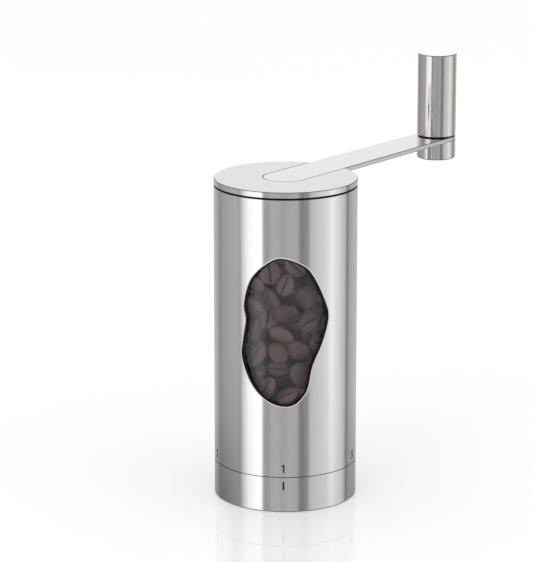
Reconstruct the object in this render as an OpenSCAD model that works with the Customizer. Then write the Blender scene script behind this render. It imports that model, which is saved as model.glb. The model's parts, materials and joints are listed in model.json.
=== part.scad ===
// Hand crank coffee grinder: a steel tube body with a bean shaped window, a lid that turns with
// the crank, a grip that spins on the crank, and a numbered ring under the body that sets the
// gap between two ceramic burrs. A storage jar screws into the underside of that ring.
// Millimetres, +Z up. The origin is on the crank axis, on the plane that the ring stands on.

/* [Body] */
// Outer diameter of the body, the lid and the setting ring
body_d = 60; // [54:0.5:72]
// Height of the steel sleeve's top edge above the table
body_h = 133.5; // [110:0.1:160]
// Wall of the steel sleeve
sleeve_wall = 0.8; // [0.5:0.1:1.2]
// Wall of the smoked hopper liner
liner_wall = 1.8; // [1.2:0.1:2.4]
// Gap between the sleeve and what it encloses
sleeve_gap = 0.2; // [0.1:0.05:0.3]
// Height of the funnel's upper edge, where the liner stands
funnel_top_z = 44; // [43:0.5:45]

/* [Window] */
// Angle round the body that the window spans
window_angle = 76; // [40:1:90]
// Height of the window
window_h = 63.4; // [40:0.5:75]
// Height of the window's middle above the table
window_z = 77.6; // [76:0.1:84]
// Width of the black seal at the window's sides
window_seal_w = 1.3; // [0.6:0.1:2.5]
// Width of the black seal at the window's top and bottom
window_seal_h = 0.8; // [0.5:0.1:2]

/* [Setting ring] */
// Height of the setting ring
ring_h = 15; // [14:0.1:16]
// Wall of the steel shell round the setting ring
ring_wall = 1; // [0.8:0.1:1.4]
// Open seam between the ring and the body
seam = 0.3; // [0.2:0.05:0.5]
// Number of settings on the dial
settings = 5; // [4:1:8]
// Radius of the jar socket
jar_socket_r = 27.4; // [26.6:0.1:27.8]
// Depth of the jar socket up to the gasket
jar_socket_h = 10; // [8:0.1:10.4]

/* [Lid and crank] */
// Thickness of the lid's steel under the arm
lid_floor = 0.4; // [0.3:0.05:1]
// Height of the black line between the sleeve and the lid
lid_line = 0.9; // [0.7:0.05:1.5]
// Distance from the crank axis to the grip's axis
crank_len = 109; // [80:1:130]
// Angle of the crank at rest, from +X
crank_angle = 53.5; // [0:0.5:90]
// Thickness of the crank arm
arm_t = 2; // [1.5:0.1:3]
// Width of the arm at the lid
arm_w_lid = 19; // [16:0.5:22]
// Width of the arm at the grip
arm_w_grip = 17; // [14:0.5:20]
// Open gap round the arm where it lies in the lid
arm_gap = 0.25; // [0.1:0.05:0.5]

/* [Grip] */
// Diameter of the grip
grip_d = 17; // [15:0.5:22]
// Height of the grip above the arm's black washer
grip_h = 36.3; // [28:0.5:50]
// Height of the steel collar under the arm
collar_h = 7.9; // [6:0.1:12]
// Wall of the grip's steel tube
grip_wall = 1; // [0.6:0.1:1.6]
// Radius of the pin that the grip spins on
grip_pin_r = 3.5; // [3:0.1:4]

/* [Mill] */
// Radius of the drive shaft
shaft_r = 4; // [3.6:0.1:4.4]
// Radius of the outer burr's outside
burr_r = 19.5; // [18.5:0.1:20]
// Height of both burrs
burr_h = 14; // [12:0.5:15]
// Gap between the burrs at their lower edge, at the finest setting
burr_gap = 0.25; // [0.15:0.05:0.5]
// Teeth round the outer burr
outer_teeth = 20; // [12:1:28]
// Teeth round the inner burr
inner_teeth = 10; // [6:1:14]
// Wire diameter of the burr spring
spring_wire = 0.8; // [0.6:0.1:1]
// Turns of the burr spring
spring_turns = 2.5; // [1.5:0.5:3]

/* [Hidden] */
$fn = 96;

press = 0.02;   // clearance of a pushed fit, round pieces that don't move on each other
run = 0.05;     // radial clearance of a running fit
slip = 0.1;     // clearance of pieces that slide or screw into each other
eps = 0.5;      // overrun of a cut past the face it opens
overlap = 1;    // how far joined shapes run into each other

// Body, from the outside in
body_r = body_d / 2;
sleeve_in_r = body_r - sleeve_wall;
liner_r = sleeve_in_r - sleeve_gap;
hopper_r = liner_r - liner_wall;
sleeve_z = ring_h + seam;

// Rim ring: a flange on the sleeve's edge and a spigot inside the sleeve
lid_play = 0.1;
rim_sink = 0.1;
rim_flange_h = lid_line - lid_play;
rim_spigot_h = 2.8;
rim_z = body_h - rim_spigot_h;
rim_top_z = body_h + rim_flange_h;
lid_z = body_h + lid_line;
arm_z = lid_z + lid_floor;
lid_top_z = arm_z + arm_t;
lid_edge = 0.25;
arc_steps = 40;

// Mill, from the jar socket up
gasket_h = 0.9;
gasket_r = jar_socket_r + 0.6;
web_z = jar_socket_h + gasket_h + slip;
carrier_z = web_z + 1;
burr_z = carrier_z + 2;
burr_top_z = burr_z + burr_h;
burr_seat_w = 1.2;
carrier_r = burr_r + 3.5;
carrier_flange_r = carrier_r + 0.8;
carrier_flange_h = 6;
carrier_top_z = burr_top_z + 2;
mill_bore_r = carrier_flange_r + 0.2;
ring_edge = 0.3;
core_in_r = carrier_r + slip;
gasket_in_r = core_in_r + 0.3;
core_collar_r = core_in_r + 1.4;
core_lip_r = core_collar_r + 1;
core_top_z = ring_h + 5;
lip_h = 1.6;
retainer_h = 1.2;
retainer_z = core_top_z - lip_h - slip - retainer_h;
retainer_r = core_lip_r + 0.8;
retainer_gap = 4;
housing_z = ring_h + seam;
collar_bore_r = core_lip_r + 0.2;
collar_top_z = core_top_z + 0.6;

// Key that stops the burr carrier turning
key_w = 4;
key_r = mill_bore_r + 1.2;
key_clear = 0.15;
key_slot_r = key_r + key_clear;
keys = 3;
key_angle = 25;
key_inset = 0.5;

// Burrs: the outer one's inside narrows from its mouth to a waist and opens again to its foot
burr_mouth_r = burr_r - 2.5;
burr_waist_r = burr_r - 3.3;
burr_foot_r = burr_r - 1.9;
burr_waist_h = burr_h * 0.3;
mouth_edge = 1;
outer_groove_w = 1.3;
outer_groove_z = burr_h / 2 + 2;
outer_groove_lean = 3;
inner_groove_w = 2.6;
inner_groove_z = burr_h * 0.66;
inner_groove_out = 1.2;
inner_groove_slant = 24;
inner_groove_len = burr_h + 3;
inner_burr_wall = 1.5;

// Bridge that carries the shaft's bush, over the spring
spring_gap = 4;
bridge_z = carrier_top_z + spring_gap;
bridge_h = 4;
bridge_top_z = bridge_z + bridge_h;
bridge_in_r = burr_r + 0.5;
bridge_out_r = hopper_r - press;
bridge_arms = 3;
bridge_arm_w = 4;
bush_wall = 2;
bush_r = shaft_r + run + bush_wall;
bush_over = 1;
bush_z = bridge_z - bush_over;
bush_top_z = bridge_top_z + bush_over;
hub_r = bush_r + press + 2.4;
bridge_screws = 3;
bridge_screw_angle = 60;
bridge_screw_r = 0.9;
bridge_screw_ring_r = (mill_bore_r + bridge_out_r) / 2 - 0.3;
bridge_screw_head_r = 1.6;
bridge_screw_head_h = 1.2;
bridge_hex_r = 0.8;
bridge_hex_depth = 0.8;
bridge_screw_len = 8;
bridge_screw_z = bridge_top_z - bridge_screw_len;

// Spring, between the carrier's top and the bridge
spring_r = (bridge_in_r + carrier_r) / 2;

// Detent that clicks at each setting
detent_r = 0.9;
detent_ring_r = (collar_bore_r + liner_r) / 2;
detent_bore_h = 6;
detent_lift = 0.02;
dimple_depth = 0.5;
detent_wire = 0.35;
detent_turns = 4;

// Shaft
shaft_collar_r = shaft_r + 1.6;
shaft_collar_z = burr_top_z + press;
clip_h = 0.8;
clip_w = 2;
clip_mouth = 0.8;
clip_groove_r = shaft_r - 0.6;
clip_z = bush_top_z + slip;
drive_square = shaft_r * 1.4;
drive_h = 13;
shaft_top_z = rim_z;
drive_z = shaft_top_z - drive_h;
burr_square = shaft_r * 1.375;
burr_washer_h = 0.8;
burr_washer_r = 6.6;
nut_h = 4;
nut_af = 8;
thread_r = 2.5;
nut_z = burr_z + 0.6;
burr_washer_z = nut_z + nut_h + press;
burr_recess_r = 7.4;
burr_seat_z = burr_washer_z + burr_washer_h + press;
thread_end_z = nut_z - 0.4;

// Lid plug
plug_r = hopper_r - slip;
plug_skirt_wall = 2;
plug_skirt_h = 6;
plug_top_z = lid_z - press;
plug_web_z = plug_top_z - 2.4;
plug_z = plug_web_z - plug_skirt_h;
seal_h = 1.6;
seal_z = plug_z + 2;
seal_depth = 0.9;
socket_r = shaft_r + 2.4;
socket_len = 12;
shaft_end_gap = 0.6;
socket_top_z = shaft_top_z + shaft_end_gap + 1;
socket_z = socket_top_z - socket_len;
plug_hub_r = socket_r + press + 1.8;
lid_screw_r = 1.25;
lid_screw_head_r = 2.3;
lid_screw_head_h = 1.4;
lid_hex_r = 1.1;
lid_hex_depth = 0.9;
lid_screw_ring_r = 17;
lid_screw_top_z = arm_z + arm_t * 0.6;

// Grip
grip_r = grip_d / 2;
washer_h = 0.5;
washer_r = grip_r - 0.4;
grip_z = lid_top_z + washer_h + 0.05;
grip_top_z = grip_z + grip_h;
collar_z = arm_z - collar_h;
grip_core_h = grip_h - 5;
grip_edge = 0.35;
grip_clip_w = 1.6;
pin_tail_gap = 0.2;
pin_tail_h = 1.5;
pin_tail_r = 2.5;
pin_clip_r = grip_pin_r - 0.8;
pin_top_z = grip_z + grip_core_h + 2.2;
grip_clip_z = grip_z + grip_core_h + slip;

// Window outline on the unrolled body, in half widths and half heights
window_shape = [
    [0, 1], [0.46, 0.89], [0.7, 0.71], [0.94, 0.37], [1, 0.15], [0.87, -0.16],
    [0.65, -0.47], [0.53, -0.79], [0.27, -0.97], [-0.05, -1], [-0.43, -0.91], [-0.75, -0.7],
    [-0.95, -0.37], [-0.92, -0.12], [-0.86, 0.14], [-0.9, 0.36], [-0.74, 0.7], [-0.35, 0.94]
];
window_steps = 6;
window_seal_sink = 0.3;

// A point on the smooth closed curve through the points p, a part t of the way from point i
function curve_at(p, i, t) =
    let (n = len(p), a = p[(i + n - 1) % n], b = p[i], c = p[(i + 1) % n], d = p[(i + 2) % n])
    0.5 * (2 * b + (c - a) * t + (2 * a - 5 * b + 4 * c - d) * t * t
        + (3 * b - 3 * c + d - a) * t * t * t);

function closed_curve(p, steps) =
    [for (i = [0 : len(p) - 1], s = [0 : steps - 1]) curve_at(p, i, s / steps)];

// The window's outline as it is seen from the front, across the body and up, drawn in by a
// width at its sides and by a height at its top and bottom
function window_outline(in_w, in_h) =
    let (half_w = body_r * sin(window_angle / 2) - in_w, half_h = window_h / 2 - in_h)
    [for (q = closed_curve(window_shape, window_steps)) [q[0] * half_w, window_z + q[1] * half_h]];

// The window's opening, cut through the front of the body
module window_cut(in_w = 0, in_h = 0) {
    translate([0, -eps, 0]) rotate([90, 0, 0])
        linear_extrude(height = body_d) polygon(window_outline(in_w, in_h));
}

// A ring between two radii and two heights
module ring(r_in, r_out, z0, z1) {
    translate([0, 0, z0]) difference() {
        cylinder(r = r_out, h = z1 - z0);
        translate([0, 0, -eps]) cylinder(r = r_in, h = z1 - z0 + 2 * eps);
    }
}

// A solid round bar between two heights
module bar(r, z0, z1) {
    translate([0, 0, z0]) cylinder(r = r, h = z1 - z0);
}

// A square bar between two heights
module square_bar(side, z0, z1) {
    translate([-side / 2, -side / 2, z0]) cube([side, side, z1 - z0]);
}

// A screw's hexagon socket about z = 0, that deep both ways
module hex_socket(r, depth) {
    translate([0, 0, -depth]) cylinder(r = r, h = 2 * depth, $fn = 6);
}

// Children repeated n times round the crank axis
module around(n, start = 0) {
    for (i = [0 : n - 1]) rotate([0, 0, start + i * 360 / n]) children();
}

// Children placed on the crank, which points along +X before it is turned to its rest angle
module on_crank() {
    rotate([0, 0, crank_angle]) children();
}

// Children placed on the grip's axis
module on_grip() {
    on_crank() translate([crank_len, 0, 0]) children();
}

// A helical spring: one wire swept round the crank axis, its ends left plain
module coil(r, wire, z0, z1, turns, per_turn = 32, sides = 8) {
    n = round(turns * per_turn);
    path = [for (i = [0 : n]) let (a = 360 * turns * i / n)
        [r * cos(a), r * sin(a), z0 + wire / 2 + (z1 - z0 - wire) * i / n, a]];
    points = [for (p = path, k = [0 : sides - 1]) let (b = 360 * k / sides)
        [p[0] + wire / 2 * cos(b) * cos(p[3]), p[1] + wire / 2 * cos(b) * sin(p[3]),
         p[2] + wire / 2 * sin(b)]];
    walls = [for (i = [0 : n - 1], k = [0 : sides - 1]) let (j = (k + 1) % sides)
        [i * sides + k, (i + 1) * sides + k, (i + 1) * sides + j, i * sides + j]];
    first = [for (k = [0 : sides - 1]) k];
    last = [for (k = [sides - 1 : -1 : 0]) n * sides + k];
    polyhedron(points, concat(walls, [first], [last]));
}

// ---- Body ----

// Steel tube with the bean shaped window
module sleeve() {
    color("silver") difference() {
        ring(sleeve_in_r, body_r, sleeve_z, body_h);
        window_cut();
    }
}

// Black seal round the inside of the window's edge
module window_seal() {
    color("black") difference() {
        intersection() {
            ring(liner_r + press, body_r - window_seal_sink, sleeve_z, body_h);
            window_cut(press, press);
        }
        window_cut(window_seal_w, window_seal_h);
    }
}

// Smoked tube that holds the beans and fills the window
module hopper_liner() {
    color([0.2, 0.2, 0.22, 0.5]) ring(hopper_r, liner_r, funnel_top_z, rim_z);
}

// Black ring on the sleeve's upper edge, which the lid turns over
module rim_ring() {
    color("black") {
        ring(hopper_r, liner_r, rim_z, body_h);
        ring(hopper_r, body_r - rim_sink, body_h, rim_top_z);
    }
}

// Black moulding with the bridge's seat, the mill's bore and the setting ring's bearing
module mill_housing() {
    color("dimgray") difference() {
        bar(liner_r, housing_z, funnel_top_z);
        bar(collar_bore_r, housing_z - eps, collar_top_z);
        bar(mill_bore_r, housing_z - eps, bridge_z + eps);
        bar(hopper_r, bridge_z, funnel_top_z + eps);
        ring(collar_bore_r - eps, retainer_r, retainer_z - slip, retainer_z + retainer_h + slip);
        around(keys, key_angle)
            translate([mill_bore_r - overlap, -key_w / 2 - key_clear, housing_z - eps])
            cube([key_slot_r - mill_bore_r + overlap, key_w + 2 * key_clear, bridge_z - housing_z]);
        around(bridge_screws, bridge_screw_angle) translate([bridge_screw_ring_r, 0, 0])
            bar(bridge_screw_r + slip, bridge_screw_z - slip, bridge_z + eps);
        translate([0, -detent_ring_r, housing_z - eps])
            cylinder(r = detent_r + slip, h = detent_bore_h + eps);
    }
}

// Funnel ring with three arms and the hub of the shaft's bush
module bearing_bridge() {
    color("dimgray") difference() {
        union() {
            rotate_extrude() polygon([
                [bridge_in_r, bridge_z], [bridge_out_r, bridge_z],
                [bridge_out_r, funnel_top_z], [bridge_in_r, bridge_top_z]
            ]);
            bar(hub_r, bridge_z, bridge_top_z);
            around(bridge_arms, bridge_screw_angle) translate([0, -bridge_arm_w / 2, bridge_z])
                cube([bridge_in_r + eps, bridge_arm_w, bridge_h]);
        }
        bar(bush_r + press, bridge_z - eps, bridge_top_z + eps);
        around(bridge_screws, bridge_screw_angle) translate([bridge_screw_ring_r, 0, 0]) {
            bar(bridge_screw_r + slip, bridge_z - eps, bridge_top_z + eps);
            bar(bridge_screw_head_r + slip, bridge_top_z, funnel_top_z + eps);
        }
    }
}

// Screws that hold the bridge down on the housing
module bridge_screws() {
    head_z = bridge_top_z + press;
    head_top_z = head_z + bridge_screw_head_h;
    color("silver") around(bridge_screws, bridge_screw_angle)
        translate([bridge_screw_ring_r, 0, 0]) difference() {
            union() {
                bar(bridge_screw_head_r, head_z, head_top_z);
                bar(bridge_screw_r, bridge_screw_z, head_z + eps);
            }
            translate([0, 0, head_top_z]) hex_socket(bridge_hex_r, bridge_hex_depth);
        }
}

// Bush that the shaft turns in
module shaft_bush() {
    color("darkgoldenrod") ring(shaft_r + run, bush_r, bush_z, bush_top_z);
}

// Split ring in the housing's groove, which holds the setting ring up
module ring_retainer() {
    color("silver") difference() {
        ring(core_collar_r + slip, retainer_r - slip, retainer_z, retainer_z + retainer_h);
        translate([-retainer_gap / 2, -body_r, retainer_z - eps])
            cube([retainer_gap, body_r, retainer_h + 2 * eps]);
    }
}

// Ball that clicks into the ring's dimples
module detent_ball() {
    color("silver") translate([0, -detent_ring_r, ring_h + detent_lift + detent_r])
        sphere(r = detent_r, $fn = 32);
}

// Spring behind the detent ball
module detent_spring() {
    color("silver") translate([0, -detent_ring_r, 0])
        coil(detent_r - detent_wire, detent_wire, ring_h + 2 * (detent_r + detent_lift),
            housing_z + detent_bore_h - press, detent_turns, per_turn = 16, sides = 6);
}

// Spring that presses the burr carrier down
module burr_spring() {
    color("silver") coil(spring_r, spring_wire, carrier_top_z, bridge_z, spring_turns);
}

// ---- Setting ring ----

// Steel shell of the setting ring
module setting_ring() {
    color("silver") difference() {
        union() {
            cylinder(r1 = body_r - ring_edge, r2 = body_r, h = ring_edge);
            bar(body_r, ring_edge, ring_h);
        }
        bar(body_r - ring_wall, -eps, ring_h + eps);
    }
}

// Moulding inside the setting ring, with the jar's socket below and the carrier's thread above
module ring_core() {
    color("dimgray") difference() {
        union() {
            bar(body_r - ring_wall - press, 0, ring_h);
            bar(core_collar_r, ring_h, core_top_z);
            bar(core_lip_r, core_top_z - lip_h, core_top_z);
        }
        bar(jar_socket_r, -eps, jar_socket_h);
        bar(gasket_r + press, jar_socket_h, web_z);
        bar(core_in_r, 0, core_top_z + eps);
        around(settings, -90) translate([detent_ring_r, 0, ring_h + detent_r - dimple_depth])
            sphere(r = detent_r, $fn = 32);
    }
}

// Rubber ring that the jar's rim presses on
module jar_gasket() {
    color("black") ring(gasket_in_r, gasket_r, jar_socket_h + slip / 2, web_z - slip / 2);
}

// ---- Burr carrier ----

// Carrier of the outer burr, keyed to the housing and screwed into the ring's core
module burr_carrier() {
    flange_z = carrier_top_z - carrier_flange_h;
    color("dimgray") difference() {
        union() {
            bar(carrier_r, carrier_z, flange_z + overlap);
            bar(carrier_flange_r, flange_z, carrier_top_z);
            around(keys, key_angle) translate([carrier_r - overlap, -key_w / 2, flange_z + key_inset])
                cube([key_r - carrier_r + overlap, key_w, carrier_flange_h - 2 * key_inset]);
        }
        bar(burr_r + press, burr_z, carrier_top_z + eps);
        bar(burr_r - burr_seat_w, carrier_z - eps, burr_z + eps);
    }
}

// Ceramic ring with cutting grooves inside
module outer_burr() {
    color("white") translate([0, 0, burr_z]) difference() {
        rotate_extrude() polygon([
            [burr_foot_r, 0], [burr_r, 0], [burr_r, burr_h], [burr_mouth_r + mouth_edge, burr_h],
            [burr_mouth_r, burr_h - mouth_edge], [burr_waist_r, burr_waist_h]
        ]);
        around(outer_teeth) translate([burr_mouth_r, 0, outer_groove_z])
            rotate([0, -outer_groove_lean, 0]) rotate([0, 0, 45])
                cube([outer_groove_w, outer_groove_w, burr_h], center = true);
    }
}

// ---- Drive ----

// Shaft with a square top for the lid and a square foot for the burr
module drive_shaft() {
    color("silver") difference() {
        union() {
            square_bar(drive_square, drive_z - eps, shaft_top_z);
            bar(shaft_r, shaft_collar_z, drive_z);
            bar(shaft_collar_r, shaft_collar_z, bush_z - slip);
            square_bar(burr_square, burr_seat_z + slip, shaft_collar_z + eps);
            bar(thread_r, thread_end_z, burr_seat_z + eps);
        }
        ring(clip_groove_r, shaft_r + eps, clip_z, clip_z + clip_h);
    }
}

// Ceramic cone with cutting grooves outside
module inner_burr() {
    top_r = shaft_collar_r + inner_burr_wall;
    low_r = burr_foot_r - burr_gap;
    mid_r = burr_waist_r - burr_gap;
    slope = atan((mid_r - top_r) / (burr_h - burr_waist_h));
    color("white") translate([0, 0, burr_z]) difference() {
        rotate_extrude() polygon([
            [0, 0], [low_r, 0], [mid_r, burr_waist_h], [top_r, burr_h], [0, burr_h]
        ]);
        square_bar(burr_square + slip, -eps, burr_h + eps);
        bar(burr_recess_r, -eps, burr_seat_z - burr_z);
        around(inner_teeth)
            translate([(mid_r + top_r) / 2 + inner_groove_out, 0, inner_groove_z])
            rotate([inner_groove_slant, -slope, 0]) rotate([0, 0, 45])
                cube([inner_groove_w, inner_groove_w, inner_groove_len], center = true);
    }
}

// Washer between the nut and the inner burr's recess
module burr_washer() {
    color("silver") ring(thread_r + slip, burr_washer_r, burr_washer_z, burr_washer_z + burr_washer_h);
}

// Hexagon nut that holds the inner burr on
module burr_nut() {
    color("silver") translate([0, 0, nut_z]) difference() {
        cylinder(r = nut_af / 2 / cos(30), h = nut_h, $fn = 6);
        translate([0, 0, -eps]) cylinder(r = thread_r + press, h = nut_h + 2 * eps);
    }
}

// Open clip in the shaft's groove, over the bush
module shaft_clip() {
    color("silver") difference() {
        ring(clip_groove_r + press, shaft_r + clip_w, clip_z + press, clip_z + clip_h - press);
        translate([0, -clip_groove_r * clip_mouth, clip_z - eps])
            cube([shaft_r + clip_w + eps, 2 * clip_groove_r * clip_mouth, clip_h + 2 * eps]);
    }
}

// ---- Lid and crank ----

// Points of an arc about (x, 0) from one angle to another
function arc(x, r, from, to) =
    [for (i = [0 : arc_steps]) let (a = from + (to - from) * i / arc_steps)
        [x + r * cos(a), r * sin(a)]];

// Outline of the arm, wider by a given gap: two round ends and the straight sides that touch them
module arm_outline(gap = 0) {
    lid_end = arm_w_lid / 2 + gap;
    grip_end = arm_w_grip / 2 + gap;
    side = 90 - asin((lid_end - grip_end) / crank_len);
    polygon(concat(arc(crank_len, grip_end, -side, side), arc(0, lid_end, side, 360 - side)));
}

// Steel disc with a slot that the arm lies in
module lid_disc() {
    color("silver") on_crank() difference() {
        union() {
            bar(body_r, lid_z, lid_top_z - lid_edge);
            translate([0, 0, lid_top_z - lid_edge])
                cylinder(r1 = body_r, r2 = body_r - lid_edge, h = lid_edge);
        }
        translate([0, 0, arm_z]) linear_extrude(height = arm_t + eps) arm_outline(arm_gap);
        lid_screw_places() bar(lid_screw_r + press, lid_z - eps, lid_screw_top_z + slip);
    }
}

// Flat tapered bar, round at both ends
module crank_arm() {
    color("gainsboro") on_crank() difference() {
        translate([0, 0, arm_z + press]) linear_extrude(height = arm_t - press) arm_outline();
        translate([crank_len, 0, 0]) bar(pin_tail_r + press, arm_z - eps, lid_top_z + eps);
        lid_screw_places() bar(lid_screw_r + press, arm_z - eps, lid_screw_top_z + slip);
    }
}

// Black plug under the lid: a web that carries the disc, a skirt in the hopper and a hub
module lid_plug() {
    color("dimgray") on_crank() difference() {
        union() {
            ring(plug_r - plug_skirt_wall, plug_r, plug_z, plug_top_z);
            bar(plug_r, plug_web_z, plug_top_z);
            bar(plug_hub_r, socket_z, plug_top_z);
        }
        bar(socket_r + press, socket_z - eps, socket_top_z + press);
        ring(plug_r - seal_depth, plug_r + eps, seal_z, seal_z + seal_h);
        lid_screw_places() bar(lid_screw_r + slip, plug_web_z - eps, plug_top_z + eps);
    }
}

// Children at the places of the lid's screws: one under the arm, two beside it
module lid_screw_places() {
    for (a = [0, 90, 270]) rotate([0, 0, a]) translate([lid_screw_ring_r, 0, 0]) children();
}

// Soft ring in the plug's groove
module plug_seal() {
    color("black")
        ring(plug_r - seal_depth + press, plug_r + slip / 2, seal_z + press, seal_z + seal_h - press);
}

// Steel socket in the plug's hub, which takes the shaft's square top
module drive_socket() {
    color("silver") on_crank() difference() {
        bar(socket_r, socket_z, socket_top_z);
        rotate([0, 0, -crank_angle])
            square_bar(drive_square + 2 * slip, socket_z - eps, shaft_top_z + shaft_end_gap);
    }
}

// Screws through the plug's web into the disc and the arm
module lid_screws() {
    head_z = plug_web_z - press - lid_screw_head_h;
    color("silver") on_crank() lid_screw_places() difference() {
        union() {
            bar(lid_screw_head_r, head_z, head_z + lid_screw_head_h);
            bar(lid_screw_r, head_z, lid_screw_top_z);
        }
        translate([0, 0, head_z]) hex_socket(lid_hex_r, lid_hex_depth);
    }
}

// Pin with a shoulder on the arm and a screwed tail in the collar
module grip_pin() {
    color("silver") on_grip() difference() {
        union() {
            bar(grip_pin_r, lid_top_z, pin_top_z);
            bar(pin_tail_r, collar_z + pin_tail_h, lid_top_z + eps);
        }
        ring(pin_clip_r, grip_pin_r + eps, grip_clip_z, grip_clip_z + clip_h);
    }
}

// Steel collar under the arm, which the pin screws into
module grip_collar() {
    color("silver") on_grip() difference() {
        union() {
            translate([0, 0, collar_z]) cylinder(r1 = grip_r - grip_edge, r2 = grip_r, h = grip_edge);
            bar(grip_r, collar_z + grip_edge, arm_z);
        }
        bar(pin_tail_r + press, collar_z + pin_tail_h - pin_tail_gap, arm_z + eps);
    }
}

// Black washer between the arm and the grip
module grip_washer() {
    color("black") on_grip() ring(grip_pin_r + press, washer_r, lid_top_z, lid_top_z + washer_h);
}

// ---- Grip ----

// Steel tube of the grip, closed at the top
module grip_tube() {
    color("silver") on_grip() difference() {
        union() {
            bar(grip_r, grip_z, grip_top_z - grip_edge);
            translate([0, 0, grip_top_z - grip_edge])
                cylinder(r1 = grip_r, r2 = grip_r - grip_edge, h = grip_edge);
        }
        bar(grip_r - grip_wall, grip_z - eps, grip_top_z - grip_wall);
    }
}

// Plastic core of the grip, which runs on the pin
module grip_core() {
    color("dimgray") on_grip()
        ring(grip_pin_r + run, grip_r - grip_wall - press, grip_z, grip_z + grip_core_h);
}

// Open clip that keeps the grip on its pin
module grip_clip() {
    color("silver") on_grip() difference() {
        ring(pin_clip_r + press, grip_pin_r + grip_clip_w,
            grip_clip_z + press, grip_clip_z + clip_h - press);
        translate([0, -pin_clip_r * clip_mouth, grip_clip_z - eps])
            cube([grip_pin_r + grip_clip_w + eps, 2 * pin_clip_r * clip_mouth, clip_h + 2 * eps]);
    }
}

sleeve();
window_seal();
hopper_liner();
rim_ring();
mill_housing();
bearing_bridge();
bridge_screws();
shaft_bush();
ring_retainer();
detent_ball();
detent_spring();
burr_spring();
setting_ring();
ring_core();
jar_gasket();
burr_carrier();
outer_burr();
drive_shaft();
inner_burr();
burr_washer();
burr_nut();
shaft_clip();
lid_disc();
crank_arm();
lid_plug();
plug_seal();
drive_socket();
lid_screws();
grip_pin();
grip_collar();
grip_washer();
grip_tube();
grip_core();
grip_clip();
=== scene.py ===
"""Hand crank coffee grinder: looks, beans, dial marks, jar thread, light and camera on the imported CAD."""

import json
import math
import random

import bmesh
import bpy
from mathutils import Euler, Matrix, Vector


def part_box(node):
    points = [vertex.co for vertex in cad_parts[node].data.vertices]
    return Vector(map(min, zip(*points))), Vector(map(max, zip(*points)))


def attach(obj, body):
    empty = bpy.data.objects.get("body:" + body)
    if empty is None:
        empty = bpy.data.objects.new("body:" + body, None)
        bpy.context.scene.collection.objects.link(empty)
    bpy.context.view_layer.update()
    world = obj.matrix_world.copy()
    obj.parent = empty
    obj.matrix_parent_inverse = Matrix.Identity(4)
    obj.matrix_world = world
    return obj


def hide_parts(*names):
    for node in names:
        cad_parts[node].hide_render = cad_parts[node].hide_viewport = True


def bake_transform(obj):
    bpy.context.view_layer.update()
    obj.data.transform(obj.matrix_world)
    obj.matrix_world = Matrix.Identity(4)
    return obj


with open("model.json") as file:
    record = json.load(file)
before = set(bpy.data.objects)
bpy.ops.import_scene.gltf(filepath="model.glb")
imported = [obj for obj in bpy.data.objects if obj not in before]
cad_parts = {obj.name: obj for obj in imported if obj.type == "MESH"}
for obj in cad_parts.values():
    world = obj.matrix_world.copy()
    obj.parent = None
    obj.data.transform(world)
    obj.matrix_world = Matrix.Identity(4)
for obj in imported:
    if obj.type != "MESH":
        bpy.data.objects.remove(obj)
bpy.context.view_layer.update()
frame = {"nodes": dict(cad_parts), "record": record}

MM = 0.001
MICRON = 0.000001
nodes = frame["nodes"]

# ---- Sizes, all from the frame ----
sleeve_lo, sleeve_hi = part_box("sleeve")
spring_lo, spring_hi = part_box("burr_spring")
BODY_R = sleeve_hi[0]
RING_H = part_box("setting_ring")[1][2]
LINER_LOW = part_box("hopper_liner")[0][2]
HOPPER_R, _, FUNNEL_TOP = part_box("bearing_bridge")[1]
SETTINGS = 5
# Points closer than this are one point
WELD = 0.001 * MM


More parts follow.
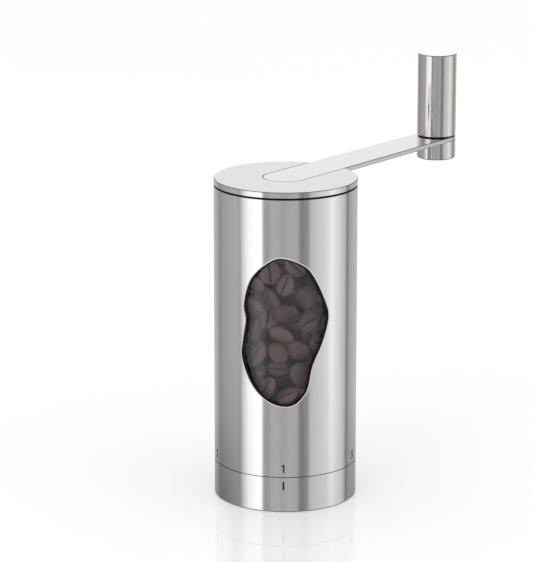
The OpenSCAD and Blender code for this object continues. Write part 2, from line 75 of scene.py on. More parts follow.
# ---- Node trees ----
class Nodes:
    """An empty node tree with short calls for the nodes that are used again and again."""

    def __init__(self, tree):
        self.tree = tree
        tree.nodes.clear()

    def add(self, kind, **values):
        node = self.tree.nodes.new(kind)
        for key, value in values.items():
            setattr(node, key, value)
        return node

    def link(self, source, target):
        self.tree.links.new(source, target)

    def feed(self, value, target):
        """Links a socket, or sets a constant."""
        if isinstance(value, bpy.types.NodeSocket):
            self.link(value, target)
        else:
            target.default_value = value

    def calc(self, operation, *values):
        node = self.add("ShaderNodeMath", operation=operation)
        for value, target in zip(values, node.inputs):
            self.feed(value, target)
        return node.outputs[0]

    def times(self, vector, factor):
        node = self.add("ShaderNodeVectorMath", operation="SCALE")
        node.inputs["Scale"].default_value = factor
        self.link(vector, node.inputs[0])
        return node.outputs[0]

    def split(self, vector):
        node = self.add("ShaderNodeSeparateXYZ")
        self.link(vector, node.inputs[0])
        return node.outputs

    def noise(self, vector, scale=1.0, detail=4.0, roughness=0.55):
        node = self.add("ShaderNodeTexNoise")
        node.inputs["Scale"].default_value = scale
        node.inputs["Detail"].default_value = detail
        node.inputs["Roughness"].default_value = roughness
        self.link(vector, node.inputs["Vector"])
        return node.outputs["Fac"]

    def ramp(self, fac, stops):
        node = self.add("ShaderNodeValToRGB")
        elements = node.color_ramp.elements
        while len(elements) < len(stops):
            elements.new(1.0)
        for element, (place, colour) in zip(elements, stops):
            element.position = place
            element.color = (*colour, 1.0) if isinstance(colour, tuple) else (*[colour] * 3, 1.0)
        self.link(fac, node.inputs["Fac"])
        return node.outputs["Color"]

    def span(self, fac, low, high, source=(0.0, 1.0)):
        """Maps the source range to low and high."""
        node = self.add("ShaderNodeMapRange")
        node.inputs["From Min"].default_value, node.inputs["From Max"].default_value = source
        node.inputs["To Min"].default_value = low
        node.inputs["To Max"].default_value = high
        self.link(fac, node.inputs["Value"])
        return node.outputs["Result"]

    def vary(self, fac, value, shares):
        """The value, times a share that follows fac."""
        return self.span(fac, value * shares[0], value * shares[1])

    def blend(self, fac, first, second, blend_type="MIX"):
        node = self.add("ShaderNodeMix", data_type="RGBA", blend_type=blend_type)
        self.feed(fac, node.inputs["Factor"])
        self.feed(first, node.inputs["A"])
        self.feed(second, node.inputs["B"])
        return node.outputs["Result"]


class Graph(Nodes):
    """A material's node tree."""

    def __init__(self, name):
        self.material = bpy.data.materials.new(name)
        self.material.use_nodes = True
        super().__init__(self.material.node_tree)
        self.output = self.add("ShaderNodeOutputMaterial")
        self.position = self.add("ShaderNodeTexCoord").outputs["Object"]

    def shader(self, **sockets):
        bsdf = self.add("ShaderNodeBsdfPrincipled")
        for key, value in sockets.items():
            bsdf.inputs[key.replace("_", " ")].default_value = value
        self.link(bsdf.outputs["BSDF"], self.output.inputs["Surface"])
        return bsdf

    def stretched(self, scale):
        mapping = self.add("ShaderNodeMapping")
        mapping.inputs["Scale"].default_value = scale
        self.link(self.position, mapping.inputs["Vector"])
        return mapping.outputs["Vector"]

    def shades(self, fac, tint, dark=0.97, light=1.01):
        """The tint, a little darker where the noise is low and lighter where it is high."""
        return self.ramp(fac, [(0.3, tuple(c * dark for c in tint)),
                               (0.7, tuple(min(1.0, c * light) for c in tint))])

    def bump(self, height, target, distance):
        node = self.add("ShaderNodeBump")
        node.inputs["Strength"].default_value = 1.0
        node.inputs["Distance"].default_value = distance
        self.link(height, node.inputs["Height"])
        self.link(node.outputs["Normal"], target)


# ---- Materials ----
# Scales of the brushing's noise: round the body, even all over, along the arm, and turned parts
ROUND_BODY = (25.0, 25.0, 3800.0)
ALL_OVER = (900.0, 900.0, 900.0)
ALONG_ARM = (30.0, 3500.0, 3500.0)
TURNED = (300.0, 300.0, 2500.0)
# How far roughness varies with the grain, as shares of it: brushed walls, flat faces, turned and moulded
BRUSHED_SHARES = (0.85, 1.1)
FLAT_SHARES = (0.9, 1.1)
TURNED_SHARES = (0.8, 1.2)
MOULDED_SHARES = (0.85, 1.15)
# How far a face looks up or down, from 0 to 1: chamfers lie between walls and flat faces, and get a painted
# shade there
FLAT_STOPS = [(0.80, 0.0), (0.96, 1.0)]
CHAMFER_SHADE_FROM = (0.15, 0.35)
CHAMFER_SHADE_TO = (0.80, 0.97)
CLOUD_SCALE = 45.0
CLOUD_ROUGHNESS = (-0.01, 0.02)


def brushed_steel(name, tint, roughness, depth, scale=ROUND_BODY, turn=0.0, flat=None, edge=1.0):
    """Steel with fine brushing, depth metres deep. The noise is turned about Z, then stretched by scale.
    flat is the tint and roughness of faces that look up or down, and edge the brightness of chamfers: below
    1 it is a painted shade that darkens them."""
    g = Graph(name)
    bsdf = g.shader(Metallic=1.0)
    placed = g.add("ShaderNodeMapping", vector_type="TEXTURE")
    placed.inputs["Rotation"].default_value = (0.0, 0.0, turn)
    placed.inputs["Scale"].default_value = tuple(1 / k for k in scale)
    g.link(g.position, placed.inputs["Vector"])
    lines = g.noise(placed.outputs["Vector"], detail=3.0, roughness=0.7)
    clouds = g.noise(g.position, scale=CLOUD_SCALE, detail=5.0)
    colour = g.shades(lines, tint)
    amount = g.vary(lines, roughness, BRUSHED_SHARES)
    up = g.calc("ABSOLUTE", g.split(g.add("ShaderNodeTexCoord").outputs["Normal"])["Z"])
    if flat is not None:
        level = g.ramp(up, FLAT_STOPS)
        colour = g.blend(level, colour, g.shades(lines, flat[0]))
        amount = g.blend(level, amount, g.vary(lines, flat[1], FLAT_SHARES))
    # Painted shade: chamfers darkened by edge
    if edge < 1.0:
        chamfer_shade = g.ramp(up, [(CHAMFER_SHADE_FROM[0], 1.0), (CHAMFER_SHADE_FROM[1], edge),
                              (CHAMFER_SHADE_TO[0], edge), (CHAMFER_SHADE_TO[1], 1.0)])
        colour = g.blend(1.0, colour, chamfer_shade, "MULTIPLY")
    g.link(colour, bsdf.inputs["Base Color"])
    g.link(g.calc("ADD", amount, g.span(clouds, *CLOUD_ROUGHNESS)), bsdf.inputs["Roughness"])
    g.bump(lines, bsdf.inputs["Normal"], depth)
    return g.material


def plain_metal(name, tint, roughness):
    """Machined steel or bronze with faint turning marks."""
    g = Graph(name)
    bsdf = g.shader(Metallic=1.0)
    marks = g.noise(g.stretched(TURNED), detail=2.0)
    g.link(g.shades(marks, tint, dark=0.88, light=1.0), bsdf.inputs["Base Color"])
    g.link(g.vary(marks, roughness, TURNED_SHARES), bsdf.inputs["Roughness"])
    g.bump(marks, bsdf.inputs["Normal"], 10 * MICRON)
    return g.material


def moulded(name, colour, roughness, grain=2200.0, depth=20 * MICRON, specular=0.5):
    """Moulded plastic or rubber with a fine grain."""
    g = Graph(name)
    bsdf = g.shader(Specular_IOR_Level=specular)
    fine = g.noise(g.position, scale=grain, detail=2.0)
    broad = g.noise(g.position, scale=60.0, detail=4.0)
    g.link(g.shades(broad, colour, dark=0.8, light=1.2), bsdf.inputs["Base Color"])
    g.link(g.vary(fine, roughness, MOULDED_SHARES), bsdf.inputs["Roughness"])
    g.bump(fine, bsdf.inputs["Normal"], depth)
    return g.material


# Coffee dust from its thinnest to its thickest
DUST = [(0.35, (0.034, 0.029, 0.045)), (0.75, (0.128, 0.108, 0.150))]
DUST_ALPHA = (0.07, 0.22)
DUST_ROUGHNESS = (0.12, 0.24)


def smoked_clear(name):
    """Clear smoked plastic, with an uneven haze of coffee dust."""
    g = Graph(name)
    bsdf = g.shader(IOR=1.9, Specular_IOR_Level=1.0)
    dust = g.noise(g.position, scale=70.0, detail=6.0, roughness=0.65)
    g.link(g.ramp(dust, DUST), bsdf.inputs["Base Color"])
    g.link(g.span(dust, *DUST_ALPHA), bsdf.inputs["Alpha"])
    g.link(g.span(dust, *DUST_ROUGHNESS), bsdf.inputs["Roughness"])
    return g.material


# Ceramic from its most stained to its cleanest
STAINS = [(0.4, (0.62, 0.55, 0.45)), (0.62, (0.86, 0.84, 0.79))]
CERAMIC_ROUGHNESS = (0.30, 0.48)


def ceramic(name):
    """Fired burr ceramic, stained a little by coffee."""
    g = Graph(name)
    bsdf = g.shader(Coat_Weight=0.25, Coat_Roughness=0.2)
    stain = g.noise(g.position, scale=180.0, detail=6.0, roughness=0.6)
    g.link(g.ramp(stain, STAINS), bsdf.inputs["Base Color"])
    g.link(g.span(stain, *CERAMIC_ROUGHNESS), bsdf.inputs["Roughness"])
    g.bump(g.noise(g.position, scale=2500.0), bsdf.inputs["Normal"], 20 * MICRON)
    return g.material


# Browns from the darkest, the painted shade in the crease, to the palest bean
ROAST = [(0.0, (0.011, 0.006, 0.006)), (0.2, (0.046, 0.026, 0.024)), (0.6, (0.118, 0.072, 0.064)),
         (1.0, (0.22, 0.140, 0.118))]
MOTTLE_SHARE = 0.35
BEAN_ROUGHNESS = (0.36, 0.56)


def roasted(name):
    """Roasted coffee bean: brown, mottled from bean to bean, slightly oily."""
    g = Graph(name)
    bsdf = g.shader(Coat_Weight=0.12, Coat_Roughness=0.3)
    # tone holds each bean's own tone, less a painted shade in its crease
    tone = g.add("ShaderNodeAttribute", attribute_name="tone").outputs["Fac"]
    mottle = g.noise(g.position, scale=700.0, detail=5.0, roughness=0.6)
    mixed = g.calc("MULTIPLY_ADD", mottle, MOTTLE_SHARE, tone)
    g.link(g.ramp(mixed, ROAST), bsdf.inputs["Base Color"])
    g.link(g.span(mottle, *BEAN_ROUGHNESS), bsdf.inputs["Roughness"])
    g.bump(mottle, bsdf.inputs["Normal"], 120 * MICRON)
    return g.material


ETCH_GREYS = [(0.3, 0.008), (0.7, 0.022)]
ETCH_ROUGHNESS = (0.45, 0.65)


def etched(name):
    """Dark laser etching, slightly uneven."""
    g = Graph(name)
    bsdf = g.shader(Metallic=0.2)
    mottle = g.noise(g.position, scale=3000.0)
    g.link(g.ramp(mottle, ETCH_GREYS), bsdf.inputs["Base Color"])
    g.link(g.span(mottle, *ETCH_ROUGHNESS), bsdf.inputs["Roughness"])
    return g.material


STEEL = (0.735, 0.727, 0.715)
grip_lo, grip_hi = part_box("grip_tube")
ARM_TURN = math.atan2(grip_lo[1] + grip_hi[1], grip_lo[0] + grip_hi[0])
# edge darkens each steel's chamfers: painted shade
finishes = {
    "steel_body": brushed_steel("brushed_body_steel", STEEL, 0.12, 0.7 * MICRON, edge=0.2),
    # Painted light: the grip's faces that look up or down are tinted near white, paler than its wall
    "steel_grip": brushed_steel("polished_grip_steel", (0.66, 0.64, 0.625), 0.06, 0.4 * MICRON,
                                flat=((0.97, 0.97, 0.97), 0.12), edge=0.3),
    "steel_lid": brushed_steel("lid_steel", STEEL, 0.10, 2 * MICRON, scale=ALL_OVER,
                               flat=((0.74, 0.715, 0.725), 0.34), edge=0.15),
    "steel_arm": brushed_steel("arm_steel", STEEL, 0.12, 0.6 * MICRON, scale=ALONG_ARM, turn=ARM_TURN,
                               flat=((0.72, 0.705, 0.707), 0.11), edge=0.08),
    "steel_inner": plain_metal("machined_steel", (0.56, 0.56, 0.57), 0.32),
    "bronze": plain_metal("oiled_bronze", (0.60, 0.42, 0.22), 0.38),
    "smoked_plastic": smoked_clear("smoked_window"),
    "black_plastic": moulded("black_moulding", (0.004, 0.004, 0.004), 0.5, specular=0.08),
    "grey_plastic": moulded("grey_moulding", (0.085, 0.085, 0.090), 0.45),
    "black_rubber": moulded("black_rubber", (0.006, 0.006, 0.006), 0.6, 1500.0, 30 * MICRON, 0.15),
    "ceramic": ceramic("burr_ceramic"),
}
for part in frame["record"]["subparts"]:
    shown = nodes[part["node"]]
    shown.data.materials.clear()
    shown.data.materials.append(finishes[part["material_slot"]])


# The arm's edges are broken a little, once its flat faces are whole again
ARM_EDGE = 0.22 * MM
SAME_FACE_DEGREES = 0.5
SHARP_EDGE_DEGREES = 60
arm = nodes["crank_arm"]
weld = arm.modifiers.new("weld", "WELD")
weld.merge_threshold = WELD
flat_faces = arm.modifiers.new("flat_faces", "DECIMATE")
flat_faces.decimate_type = "DISSOLVE"
flat_faces.angle_limit = math.radians(SAME_FACE_DEGREES)
broken = arm.modifiers.new("broken_edges", "BEVEL")
broken.width = ARM_EDGE
broken.segments = 1
broken.use_clamp_overlap = False
broken.limit_method = "ANGLE"
broken.angle_limit = math.radians(SHARP_EDGE_DEGREES)


# ---- Pieces ----
def mesh_object(name, build, material, smooth):
    """An object from a bmesh, in its material."""
    mesh = bpy.data.meshes.new(name)
    build.to_mesh(mesh)
    build.free()
    for face in mesh.polygons:
        face.use_smooth = smooth
    made = bpy.data.objects.new(name, mesh)
    bpy.context.scene.collection.objects.link(made)
    mesh.materials.append(material)
    return made


def new_piece(name, build, material, body, smooth=True):
    """A mesh piece that rides on a body."""
    piece = mesh_object(name, build, material, smooth)
    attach(piece, body)


def skin(build, rings, closed):
    """Joins rings of vertices into a tube, which is closed on itself or capped at its ends."""
    onward = rings[1:] + rings[:1] if closed else rings[1:]
    for a, b in zip(rings, onward):
        for i in range(len(a)):
            j = (i + 1) % len(a)
            build.faces.new((a[i], b[i], b[j], a[j]))
    if not closed:
        build.faces.new(rings[0])
        build.faces.new(rings[-1][::-1])
    bmesh.ops.recalc_face_normals(build, faces=build.faces)


# Dial marks: numerals on the body over the seam, and one index mark on the ring
MARK_H = 3.5 * MM
MARK_Z = RING_H + 2.2 * MM
MARK_PROUD = 0.02 * MM
MARK_T = 0.03 * MM
MARK_BOLD = 0.09 * MM
INDEX_SIZE = (0.8 * MM, 3.7 * MM)
INDEX_Z = RING_H - 5.4 * MM
INDEX_CORNER = 0.15 * MM
INDEX_CORNER_STEPS = 3
# Height of the font's capitals as a share of its size
FONT_CAP_SHARE = 0.729
FONT_STEPS = 6
# The one's outline in millimetres, from its foot
ONE_OUTLINE = [
    (-0.22, 0.0), (0.42, 0.0), (0.42, 3.5), (-0.1, 3.5), (-0.85, 3.1), (-0.85, 2.55), (-0.22, 2.75)
]


def wrap(build, radius, turn):
    """Bends a flat build, drawn in x and z at y = 0, round the body, and turns it to its setting."""
    for vertex in build.verts:
        x, y, z = vertex.co
        angle = x / radius
        r = radius - y
        vertex.co = Vector((r * math.sin(angle), -r * math.cos(angle), z))
    to_setting = Matrix.Rotation(turn, 3, "Z")
    bmesh.ops.rotate(build, verts=build.verts, matrix=to_setting, cent=(0, 0, 0))


def one():
    """A bold upright one with a flag."""
    build = bmesh.new()
    rows = [[build.verts.new((x * MM, side * MARK_T / 2, z * MM)) for x, z in ONE_OUTLINE]
            for side in (-1, 1)]
    build.faces.new(rows[0])
    build.faces.new(rows[1][::-1])
    for i in range(len(ONE_OUTLINE)):
        build.faces.new((rows[0][i - 1], rows[0][i], rows[1][i], rows[1][i - 1]))
    bmesh.ops.recalc_face_normals(build, faces=build.faces)
    return build


def numeral(text):
    """A flat numeral, centred on x = 0 and standing on z = 0, with a front and a back face."""
    curve = bpy.data.curves.new("numeral", "FONT")
    curve.body = text
    curve.size = MARK_H / FONT_CAP_SHARE
    curve.align_x = "CENTER"
    curve.extrude = MARK_T / 2
    curve.offset = MARK_BOLD
    curve.resolution_u = FONT_STEPS
    holder = bpy.data.objects.new("numeral", curve)
    bpy.context.scene.collection.objects.link(holder)
    bpy.context.view_layer.update()
    shown = holder.evaluated_get(bpy.context.evaluated_depsgraph_get())
    mesh = bpy.data.meshes.new_from_object(shown)
    build = bmesh.new()
    build.from_mesh(mesh)
    upright = Matrix.Rotation(math.pi / 2, 3, "X")
    bmesh.ops.rotate(build, verts=build.verts, matrix=upright, cent=(0, 0, 0))
    bpy.data.objects.remove(holder)
    bpy.data.curves.remove(curve)
    bpy.data.meshes.remove(mesh)
    return build


mark_material = etched("etched_black")
for setting in range(SETTINGS):
    build = numeral(str(setting + 1)) if setting else one()
    bmesh.ops.translate(build, verts=build.verts, vec=(0, 0, MARK_Z))
    wrap(build, BODY_R + MARK_PROUD, -setting * 2 * math.pi / SETTINGS)
    new_piece("dial_numeral_%d" % (setting + 1), build, mark_material, "body", False)

build = bmesh.new()
bmesh.ops.create_cube(build, size=1.0)
bmesh.ops.scale(build, verts=build.verts, vec=(INDEX_SIZE[0], MARK_T, INDEX_SIZE[1]))
corners = [e for e in build.edges if abs(e.verts[0].co.y - e.verts[1].co.y) > MARK_T / 2]
bmesh.ops.bevel(build, geom=corners, offset=INDEX_CORNER, segments=INDEX_CORNER_STEPS,
                affect="EDGES")
bmesh.ops.translate(build, verts=build.verts, vec=(0, 0, INDEX_Z + INDEX_SIZE[1] / 2))
wrap(build, BODY_R + MARK_PROUD, 0.0)
new_piece("index_mark", build, mark_material, "ring", False)


# Turned edge of the window: a thin bead along the opening's outline in the sleeve, in steel paler than the
# sleeve's, a painted highlight
BEAD_R = 0.22 * MM
BEAD_SIDES = 8
# The opening's edges bend by more than this angle, and lie within this depth of the outside
RIM_SHARP = 0.6
RIM_DEPTH = 0.1 * MM
END_CLEAR = 1.0 * MM


def window_bead():
    """Follows the sleeve's own opening: the sharp edges on its outside, away from both ends."""
    sleeve = nodes["sleeve"]
    shape = bmesh.new()
    shape.from_mesh(sleeve.data)
    shape.transform(sleeve.matrix_world)
    bmesh.ops.remove_doubles(shape, verts=shape.verts, dist=WELD)
    low, high = sleeve_lo[2] + END_CLEAR, sleeve_hi[2] - END_CLEAR
    rim = [e for e in shape.edges if len(e.link_faces) == 2 and e.calc_face_angle(0) > RIM_SHARP
           and all(v.co.xy.length > BODY_R - RIM_DEPTH and low < v.co.z < high for v in e.verts)]
    following = {}
    for edge in rim:
        a, b = edge.verts
        following.setdefault(a, []).append(b)
        following.setdefault(b, []).append(a)
    start = min(following, key=lambda v: v.co.z)
    loop, before = [start], None
    while True:
        onward = [v for v in following[loop[-1]] if v is not before]
        before = loop[-1]
        if not onward or onward[0] is start or len(loop) > len(following):
            break
        loop.append(onward[0])
    points = [v.co.copy() for v in loop]
    shape.free()
    return tube_along(points)


def tube_along(points):
    """A closed tube round a closed run of points."""
    build = bmesh.new()
    rings = []
    count = len(points)
    for i, point in enumerate(points):
        forward = (points[(i + 1) % count] - points[i - 1]).normalized()
        out = Vector((point.x, point.y, 0)).normalized()
        side = forward.cross(out).normalized()
        ring = []
        for k in range(BEAD_SIDES):
            turn = 2 * math.pi * k / BEAD_SIDES
            ring.append(build.verts.new(point + BEAD_R * (math.cos(turn) * out + math.sin(turn) * side)))
        rings.append(ring)
    skin(build, rings, True)
    return build


# Paler than the body steel: a painted highlight along the window's edge
bead_highlight_steel = brushed_steel("window_edge_highlight_steel", (0.95, 0.95, 0.94), 0.12, 0.4 * MICRON)
new_piece("window_bead", window_bead(), bead_highlight_steel, "body")


# Coffee beans: one mesh of settled beans between the shaft and the liner
BEAN = Vector((5.6, 4.2, 2.6)) * MM
BEAN_ROUNDS = 16
DOME_SIDES = 10
FLAT_STEPS = (-0.86, -0.62, -0.36, -0.18, -0.10, -0.05, 0.0, 0.05, 0.10, 0.18, 0.36, 0.62, 0.86)
FLAT_DEPTH = 0.55
CREASE_WIDTH = 0.085
CREASE_DEPTH = 0.42
CREASE_WAVES = 2.4
BEAN_TAPER = 0.12
BEAN_SHAPES = 8
# Least and greatest bend of the crease, height and size as shares, and tone
BEAN_WAVE = (-0.18, 0.18)
BEAN_PLUMP = (0.92, 1.1)
BEAN_SIZE = (0.84, 1.12)
BEAN_TONE = (0.05, 0.65)
# Where the centres of the beans may lie
FILL_LOW = FUNNEL_TOP + 4.5 * MM
FILL_HIGH = LINER_LOW + 69.0 * MM
SHAFT_CLEAR = 10.0 * MM
WALL_CLEAR = HOPPER_R - 3.1 * MM
BEAN_GAP = 7.9 * MM
BEAN_TRIES = 26000
AT_WALL_SHARE = 0.35
# How the beans lie: those at the wall lie flatter, most with the crease outwards
NEAR_WALL = WALL_CLEAR - 2.0 * MM
WALL_LEAN = 0.55
FREE_LEAN = 1.4
END_LEAN_SHARE = 0.6
CREASE_OUT_SHARE = 0.65
# Painted shade: how far the tone drops in the crease
CREASE_SHADE = 0.5
# What no bean reaches past: the liner and the shaft
BEAN_OUTSIDE = HOPPER_R - 0.25 * MM
BEAN_INSIDE = 4.6 * MM
WALL_TOUCH = HOPPER_R - 0.3 * MM
BEAN_SEED = 5
rng = random.Random(BEAN_SEED)


def bean_shape(crease_wave, plump):
    """Points, each with its share of crease, which sets the painted shade there, and faces of one bean: an
    oval dome over a flatter side that has the crease.
    """
    rows = []
    for i in range(1, BEAN_ROUNDS):
        across = math.pi * i / BEAN_ROUNDS
        x = -math.cos(across)
        wide = math.sin(across)
        row = []
        for j in range(DOME_SIDES + 1):
            turn = math.pi * j / DOME_SIDES
            row.append((Vector((x, wide * math.cos(turn), wide * math.sin(turn))), 0.0))
        for step in FLAT_STEPS:
            y = -step - crease_wave * math.sin(CREASE_WAVES * x) * (1 - abs(step))
            crease = math.exp(-(step / CREASE_WIDTH) ** 2) * (1 - x ** 6)
            z = -FLAT_DEPTH * math.sqrt(max(0.0, 1 - step * step)) + CREASE_DEPTH * crease
            row.append((Vector((x, wide * -y, wide * z)), crease))
        rows.append([
            (Vector((q.x * BEAN.x, q.y * BEAN.y * (1 - BEAN_TAPER * q.x), q.z * BEAN.z * plump)), c)
            for q, c in row
        ])
    tip, tail = (Vector((-BEAN.x, 0, 0)), 0.0), (Vector((BEAN.x, 0, 0)), 0.0)
    points = [tip] + [q for row in rows for q in row] + [tail]
    sides = len(rows[0])
    faces = []
    for j in range(sides):
        k = (j + 1) % sides
        faces.append((0, 1 + k, 1 + j))
        for i in range(BEAN_ROUNDS - 2):
            a = 1 + i * sides
            faces.append((a + j, a + k, a + sides + k, a + sides + j))
        a = 1 + (BEAN_ROUNDS - 2) * sides
        faces.append((a + j, a + k, len(points) - 1))
    return points, faces


def settled_places():
    """Bean centres: random tries, kept if clear of those before them."""
    places = []
    for _ in range(BEAN_TRIES):
        r = math.sqrt(rng.uniform(SHAFT_CLEAR ** 2, WALL_CLEAR ** 2))
        if rng.random() < AT_WALL_SHARE:
            r = WALL_CLEAR
        a = rng.uniform(0, 2 * math.pi)
        p = Vector((r * math.cos(a), r * math.sin(a), rng.uniform(FILL_LOW, FILL_HIGH)))
        if all((p - q).length > BEAN_GAP for q in places):
            places.append(p)
    return places


def beans():
    """All beans as one piece. A bean that would cross the liner is moved inwards."""
    build = bmesh.new()
    tone_and_crease_shade = build.verts.layers.float.new("tone")
    shapes = [bean_shape(rng.uniform(*BEAN_WAVE), rng.uniform(*BEAN_PLUMP)) for _ in range(BEAN_SHAPES)]
    for place in settled_places():
        points, faces = shapes[rng.randrange(len(shapes))]
        out = Vector((place.x, place.y, 0)).normalized()
        lean = WALL_LEAN if place.xy.length > NEAR_WALL else FREE_LEAN
        flip = math.pi if rng.random() < CREASE_OUT_SHARE else 0.0
        spin = Euler((flip + rng.gauss(0, lean), rng.gauss(0, lean * END_LEAN_SHARE), 0)).to_matrix()
        roll = Matrix.Rotation(rng.uniform(0, 2 * math.pi), 3, "Z")
        facing = out.to_track_quat("Z", "Y").to_matrix()
        size = rng.uniform(*BEAN_SIZE)
        tone = rng.uniform(*BEAN_TONE)
        made = []
        placed = [place + facing @ (roll @ (spin @ (point * size))) for point, _ in points]
        past_wall = max(0.0, max(p.xy.length for p in placed) - WALL_TOUCH)
        for spot, (_, crease) in zip(placed, points):
            vertex = build.verts.new(spot - out * past_wall)
            # A painted shade darkens the tone in the crease
            vertex[tone_and_crease_shade] = tone - CREASE_SHADE * crease
            made.append(vertex)
        for face in faces:
            build.faces.new([made[i] for i in face])
    for vertex in build.verts:
        r = vertex.co.xy.length
        if r > BEAN_OUTSIDE:
            vertex.co.xy *= BEAN_OUTSIDE / r
        elif r < BEAN_INSIDE:
            vertex.co.xy *= BEAN_INSIDE / max(r, WELD)
    build.normal_update()
    new_piece("coffee_beans", build, roasted("roasted_beans"), "body")


beans()

# Burr spring: a fixed coil in the frame spring's place; on the real grinder it shortens as the burr carrier
# rises
SPRING_WIRE = 0.8 * MM
SPRING_TURNS = 2.5
SPRING_PER_TURN = 36
SPRING_SIDES = 10


def spring():
    """A round wire swept along a helix between the carrier and the bridge."""
    build = bmesh.new()
    radius = spring_hi[0] - SPRING_WIRE / 2
    low, high = spring_lo[2] + SPRING_WIRE / 2, spring_hi[2] - SPRING_WIRE / 2
    count = round(SPRING_TURNS * SPRING_PER_TURN)
    rings = []
    for i in range(count + 1):
        angle = 2 * math.pi * SPRING_TURNS * i / count
        out = Vector((math.cos(angle), math.sin(angle), 0.0))
        middle = out * radius + Vector((0, 0, low + (high - low) * i / count))
        ring = []
        for k in range(SPRING_SIDES):
            turn = 2 * math.pi * k / SPRING_SIDES
            lift = Vector((0, 0, math.sin(turn)))
            ring.append(build.verts.new(middle + SPRING_WIRE / 2 * (math.cos(turn) * out + lift)))
        rings.append(ring)
    skin(build, rings, False)
    return build


coil = mesh_object("burr_coil", spring(), finishes["steel_inner"], True)
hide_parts("burr_spring")
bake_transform(coil)

# Jar thread: one helical ridge inside the ring's socket
THREAD_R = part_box("ring_core")[1][0] - 1.58 * MM
THREAD_TURNS = 1.6
THREAD_STEPS = 150
THREAD_PITCH = 3.6 * MM
THREAD_LOW = 2.4 * MM
# The ridge's section in millimetres, up and inwards, and how far its root goes into the wall
THREAD_FORM = [(-0.9, 0.0), (-0.35, -0.75), (0.35, -0.75), (0.9, 0.0)]
THREAD_ROOT = 0.02
# Each end fades out over one part in this many of the length, and keeps this share of its width
THREAD_FADE = 14
THREAD_END_WIDTH = 0.15


def thread():
    """A ridge that climbs the socket's wall and fades out at both ends."""
    build = bmesh.new()
    rings = []
    for i in range(THREAD_STEPS + 1):
        part = i / THREAD_STEPS
        angle = 2 * math.pi * THREAD_TURNS * part
        fade = min(1.0, part * THREAD_FADE, (1 - part) * THREAD_FADE)
        ring = []
        for up, inward in THREAD_FORM:
            r = THREAD_R + (inward * fade if inward else THREAD_ROOT) * MM
            z = THREAD_LOW + THREAD_PITCH * THREAD_TURNS * part + up * max(fade, THREAD_END_WIDTH) * MM
            ring.append(build.verts.new((r * math.cos(angle), r * math.sin(angle), z)))
        rings.append(ring)
    skin(build, rings, False)
    return build


new_piece("jar_thread", thread(), finishes["black_plastic"], "ring", False)


# ---- Floor, light and camera ----
FLOOR_HALF = 6.0
FLOOR_GREYS = [(0.3, (0.85, 0.85, 0.845)), (0.7, (0.86, 0.86, 0.855))]
FLOOR_ROUGHNESS = (0.025, 0.04)


def floor():
    """Large pale floor with a soft gloss. Steel doesn't reflect it: steel reflects the studio's bands."""
    g = Graph("pale_floor")
    bsdf = g.shader(Specular_IOR_Level=1.0)
    broad = g.noise(g.position, scale=3.0)
    g.link(g.ramp(broad, FLOOR_GREYS), bsdf.inputs["Base Color"])
    g.link(g.span(broad, *FLOOR_ROUGHNESS), bsdf.inputs["Roughness"])
    build = bmesh.new()
    bmesh.ops.create_grid(build, x_segments=2, y_segments=2, size=FLOOR_HALF)
    plane = mesh_object("floor", build, g.material, False)
    plane.visible_glossy = False


# The studio as polished steel sees it: brightness by compass angle, in degrees from the front
STUDIO_BANDS = [
    (-180, 0.58), (-149, 0.56), (-136, 0.42), (-127, 0.34), (-120, 0.44), (-84, 0.55), (-77, 0.45),
    (-73, 0.78), (-61, 1.30), (-37, 1.50), (-35, 0.47), (-29, 0.41), (-21, 0.54), (-11, 0.54), (-3, 0.46),
    (7, 0.52), (21, 0.54), (24, 0.32), (28, 0.27), (33, 0.33), (38, 0.36), (42, 0.66), (71, 0.92),
    (82, 1.20), (89, 1.02), (113, 0.62), (119, 0.21), (126, 0.48), (143, 0.58), (180, 0.58)
]
BAND_MAX = 1.5
# Share of the bands' light that is left close to the floor, where the studio's sides fall into shade
LOW_BANDS = [
    (-180, 0.60), (-132, 0.47), (-112, 0.37), (-82, 0.51), (-60, 0.88), (-40, 0.97), (-33, 0.86),
    (-10, 1.03), (10, 1.05), (30, 0.80), (45, 0.98), (60, 0.90), (78, 0.76), (106, 0.98), (125, 0.72),
    (141, 0.52), (180, 0.60)
]
# The shade starts and is full at these heights of the reflected direction
LOW_FROM = (-0.292, -0.325)
# White takes over from the bands at this height, which is lower towards the back of the studio
WHITE_FROM = (0.28, 0.46)
BACK_LIFT = 0.40
GLOSSY_WHITE = (1.03, 1.03, 1.03, 1.0)
MATT_WHITE = (1.12, 1.12, 1.12, 1.0)


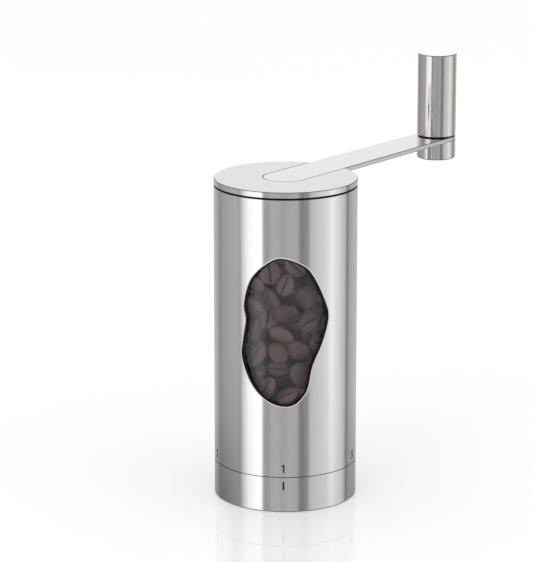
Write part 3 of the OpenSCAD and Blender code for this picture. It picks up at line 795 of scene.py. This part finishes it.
def studio():
    """World light: even white for what is matt, upright bands for what is glossy."""
    world = bpy.data.worlds.new("studio")
    bpy.context.scene.world = world
    world.use_nodes = True
    world.cycles.sampling_method = "NONE"
    n = Nodes(world.node_tree)
    x, y, z = n.split(n.add("ShaderNodeTexCoord").outputs["Generated"])
    angle = n.calc("ARCTAN2", x, n.calc("MULTIPLY", y, -1.0))
    compass = n.span(angle, 0.0, 1.0, (-math.pi, math.pi))

    def by_compass(stops):
        """Grey levels by compass angle, as shares of BAND_MAX, because a ramp stops at 1."""
        return n.ramp(compass, [((degrees + 180) / 360, value / BAND_MAX) for degrees, value in stops])

    low = n.times(by_compass(LOW_BANDS), BAND_MAX)
    near_floor = n.span(z, 0.0, 1.0, LOW_FROM)
    bands = n.times(n.blend(near_floor, by_compass(STUDIO_BANDS), low, "MULTIPLY"), BAND_MAX)
    height = n.calc("MULTIPLY_ADD", n.calc("MAXIMUM", y, 0.0), BACK_LIFT, z)
    above = n.span(height, 0.0, 1.0, WHITE_FROM)
    glossy = n.blend(above, bands, GLOSSY_WHITE)
    path = n.add("ShaderNodeLightPath")
    light = n.add("ShaderNodeBackground")
    n.link(n.blend(path.outputs["Is Glossy Ray"], MATT_WHITE, glossy), light.inputs["Color"])
    n.link(light.outputs[0], n.add("ShaderNodeOutputWorld").inputs["Surface"])


LIGHT_AIM = Vector((0.0, 0.0, 0.07))


def soft_light(name, place, size, power):
    """A round area light aimed at the middle of the body, which steel doesn't reflect."""
    data = bpy.data.lights.new(name, "AREA")
    data.shape = "DISK"
    data.size = size
    data.energy = power
    lamp = bpy.data.objects.new(name, data)
    lamp.location = place
    lamp.rotation_euler = (LIGHT_AIM - Vector(place)).to_track_quat("-Z", "Y").to_euler()
    lamp.visible_glossy = False
    bpy.context.scene.collection.objects.link(lamp)


CAMERA_PLACE = (0.02758, -1.1977, 0.4047)
CAMERA_PITCH = 14.63
CAMERA_TURN = 1.7
CAMERA_LENS = 188.9
CAMERA_SENSOR = 36.0
floor()
studio()
soft_light("key", place=(-0.5, -0.9, 1.1), size=0.7, power=1.6)
soft_light("fill", place=(0.9, -0.5, 0.9), size=0.9, power=0.9)
camera = bpy.data.objects.new("camera", bpy.data.cameras.new("camera"))
camera.data.lens = CAMERA_LENS
camera.data.sensor_width = CAMERA_SENSOR
camera.location = CAMERA_PLACE
camera.rotation_euler = (math.radians(90 - CAMERA_PITCH), 0.0, math.radians(CAMERA_TURN))
bpy.context.scene.collection.objects.link(camera)
bpy.context.scene.camera = camera
bpy.context.scene.view_settings.view_transform = "Standard"
